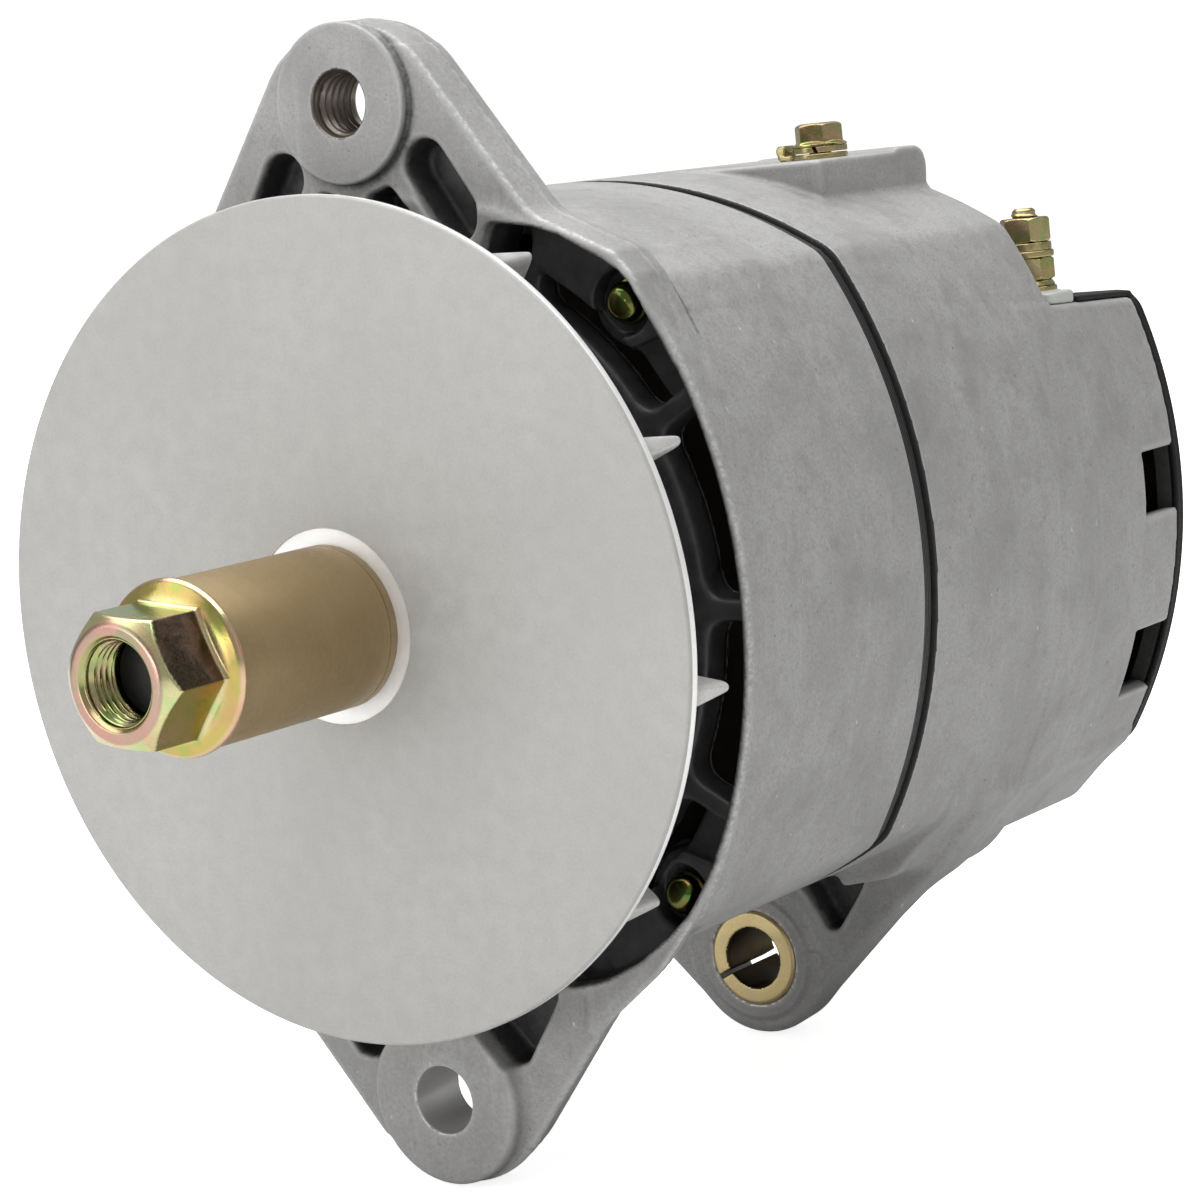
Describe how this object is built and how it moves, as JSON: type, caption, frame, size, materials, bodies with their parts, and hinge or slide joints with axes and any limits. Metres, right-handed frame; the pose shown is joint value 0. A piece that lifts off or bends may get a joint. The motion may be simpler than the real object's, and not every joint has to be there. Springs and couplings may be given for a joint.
{
  "type": "alternator",
  "caption": "Heavy-duty brushless alternator with a wide front fan, a long shaft sleeve and nut, two hinge lugs, a threaded adjusting ear and an output stud on a stepped rear frame.",
  "frame": {"origin": "on the shaft axis, in the plane of the fan's front face, where a pulley seats", "axes": "+Y along the shaft from the drive end to the rear, +Z from the hinge side towards the adjusting ear, +X to the right seen from the drive end"},
  "size_m": [0.1642, 0.2701, 0.2306],
  "materials": {
    "cast_frame": "sand cast, tumbled",
    "core_black": "black varnish",
    "copper": "enamelled copper",
    "lead": "tinned copper",
    "steel": "ground",
    "zinc_steel": "clear zinc",
    "bearing_cage": "machined",
    "bobbin": "glass filled nylon",
    "fan_cast": "cast, machined rim",
    "sleeve_tan": "matte chromate",
    "gold_zinc": "yellow zinc dichromate",
    "insulator": "moulded",
    "cover_black": "satin black",
    "gasket": "foam rubber",
    "heat_sink": "extruded",
    "diode_case": "nickel plated",
    "black_plastic": "potted",
    "can": "drawn can"
  },
  "bodies": {
    "housing": {"drive_end_frame": "cast_frame", "rear_frame": "cast_frame", "stator_core": "core_black", "stator_winding": "copper", "stator_leads": "lead", "field_core": "steel", "field_core_screws": "zinc_steel", "field_bobbin": "bobbin", "field_coil": "copper", "field_lead": "lead", "front_bearing_outer": "steel", "bearing_retainer": "zinc_steel", "retainer_screws": "zinc_steel", "rear_bearing_cup": "steel", "through_bolts": "gold_zinc", "ground_screw": "gold_zinc", "ground_lock_washer": "gold_zinc", "ground_tab": "gold_zinc", "output_stud": "gold_zinc", "output_nut": "gold_zinc", "output_jam_nut": "gold_zinc", "output_lock_washer": "gold_zinc", "output_washer": "gold_zinc", "stud_base_washers": "gold_zinc", "stud_insulator": "insulator", "rear_cover": "cover_black", "cover_gasket": "gasket", "cover_screws": "cover_black", "positive_heat_sink": "heat_sink", "negative_heat_sink": "heat_sink", "rectifier_diodes": "diode_case", "diode_trio": "black_plastic", "trio_screw": "zinc_steel", "voltage_regulator": "black_plastic", "regulator_screws": "zinc_steel", "filter_capacitor": "can", "sink_insulators": "insulator", "sink_screws": "zinc_steel"},
    "rotor": {"rotor_shaft": "steel", "front_pole_claw": "steel", "rear_pole_claw": "steel", "pole_joining_ring": "steel", "fan": "fan_cast", "fan_collar": "steel", "shaft_sleeve": "sleeve_tan", "shaft_nut": "gold_zinc", "front_bearing_inner": "steel", "rear_bearing_inner": "steel"},
    "front_ball_set": {"front_bearing_balls": "steel", "front_bearing_cage": "bearing_cage"},
    "rear_roller_set": {"rear_bearing_rollers": "steel", "rear_bearing_cage": "bearing_cage"},
    "bushing": {"hinge_bushing": "gold_zinc"}
  },
  "joints": [
    {"name": "rotor_spin", "type": "hinge", "parent": "housing", "child": "rotor", "pos_m": [0, 0, 0], "axis": [0, 1, 0], "continuous": true},
    {"name": "front_balls_orbit", "type": "hinge", "parent": "housing", "child": "front_ball_set", "pos_m": [0, 0.0335, 0], "axis": [0, 1, 0], "continuous": true},
    {"name": "rear_rollers_orbit", "type": "hinge", "parent": "housing", "child": "rear_roller_set", "pos_m": [0, 0.142, 0], "axis": [0, 1, 0], "continuous": true},
    {"name": "bushing_slide", "type": "slide", "parent": "housing", "child": "bushing", "axis": [0, 1, 0], "range_m": [-0.002, 0.004]}
  ],
  "couplings": [
    {"joint": "front_balls_orbit", "follows": "rotor_spin", "ratio": 0.385},
    {"joint": "rear_rollers_orbit", "follows": "rotor_spin", "ratio": 0.413}
  ]
}
